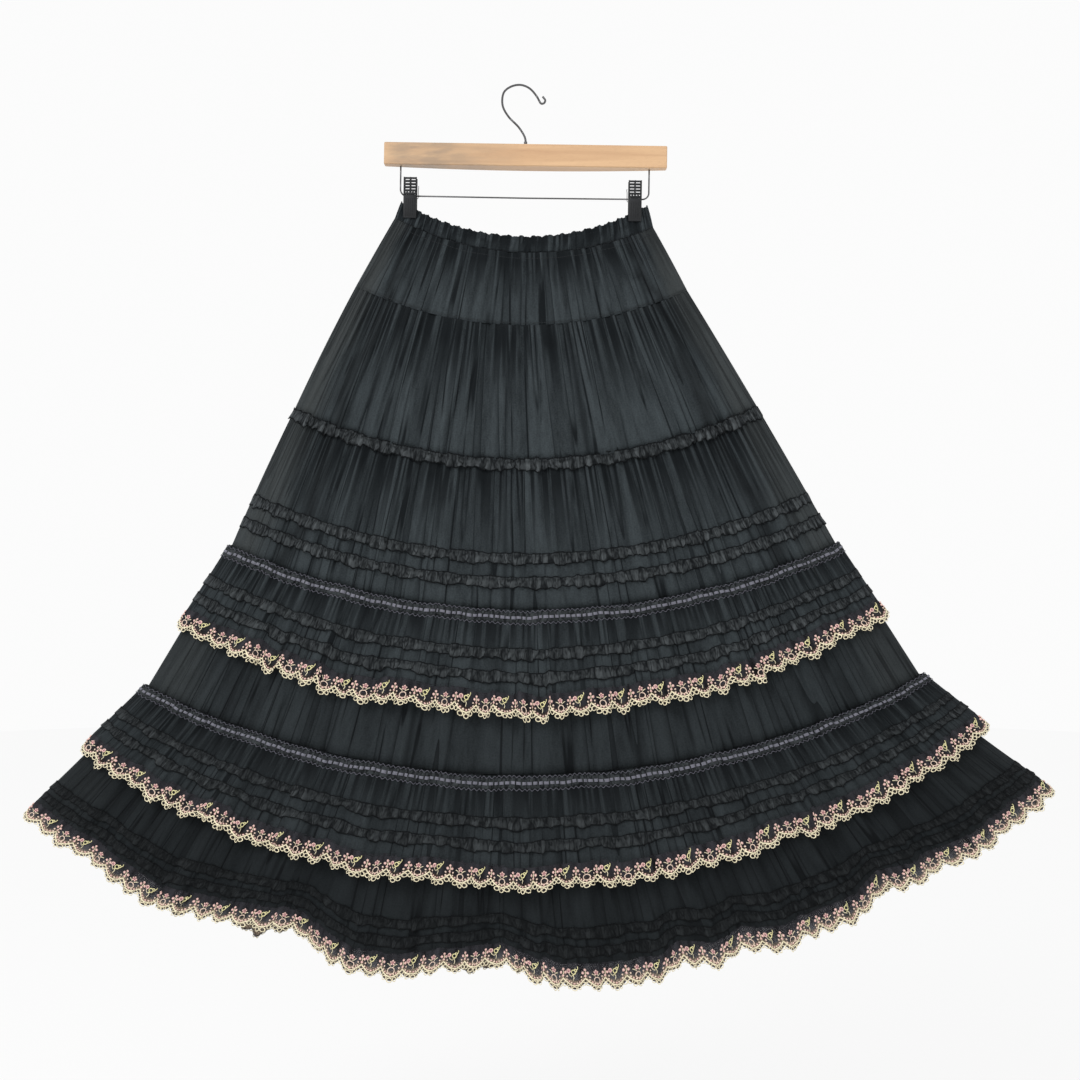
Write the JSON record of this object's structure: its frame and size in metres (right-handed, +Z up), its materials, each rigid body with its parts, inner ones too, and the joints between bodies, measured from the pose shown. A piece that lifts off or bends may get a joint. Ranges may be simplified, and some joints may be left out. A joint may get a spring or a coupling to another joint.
{
  "type": "tiered skirt on a clip hanger",
  "caption": "Long flared tiered skirt with gathered flounces, frills and scalloped embroidered edging, hanging from a wooden clip hanger.",
  "frame": {"origin": "the inside top of the hanger's hook, where a rail or a wall hook holds it", "axes": "+Z up, +X along the hanger to the right as seen from the front, +Y to the back of the skirt"},
  "size_m": [1.2813, 0.1184, 1.1143],
  "materials": {
    "cloth": "crinkled black cotton voile, matt with a slight sheen",
    "trim": "raw-edged gathered strips of the same black voile",
    "ribbon": "slate satin ribbon through black ladder lace",
    "lace": "cream, gold and pink embroidery on dark net",
    "wood": "plain light wood, satin lacquer",
    "steel": "dark plated steel wire",
    "plastic": "black moulded plastic"
  },
  "bodies": {
    "root": {"waistband_front": "cloth", "waistband_back": "cloth", "tier_1_front": "cloth", "tier_1_back": "cloth", "tier_2_front": "cloth", "tier_2_back": "cloth", "tier_3_front": "cloth", "tier_3_back": "cloth", "tier_4_front": "cloth", "tier_4_back": "cloth", "tier_5_front": "cloth", "tier_5_back": "cloth", "flounce_upper_front": "cloth", "flounce_upper_back": "cloth", "flounce_lower_front": "cloth", "flounce_lower_back": "cloth", "frill_1_front": "trim", "frill_1_back": "trim", "frill_2_front": "trim", "frill_2_back": "trim", "frill_3_front": "trim", "frill_3_back": "trim", "upper_frill_1_front": "trim", "upper_frill_1_back": "trim", "upper_frill_2_front": "trim", "upper_frill_2_back": "trim", "lower_frill_1_front": "trim", "lower_frill_1_back": "trim", "lower_frill_2_front": "trim", "lower_frill_2_back": "trim", "hem_frill_1_front": "trim", "hem_frill_1_back": "trim", "hem_frill_2_front": "trim", "hem_frill_2_back": "trim", "ladder_lace_1_front": "ribbon", "ladder_lace_1_back": "ribbon", "ladder_lace_2_front": "ribbon", "ladder_lace_2_back": "ribbon", "lace_edging_upper_front": "lace", "lace_edging_upper_back": "lace", "lace_edging_lower_front": "lace", "lace_edging_lower_back": "lace", "lace_edging_hem_front": "lace", "lace_edging_hem_back": "lace", "wood_bar": "wood", "hook": "steel", "clip_wire": "steel", "clip_left_barrel": "steel", "clip_left_front_jaw": "plastic", "clip_left_back_jaw": "plastic", "clip_right_barrel": "steel", "clip_right_front_jaw": "plastic", "clip_right_back_jaw": "plastic"}
  },
  "joints": []
}
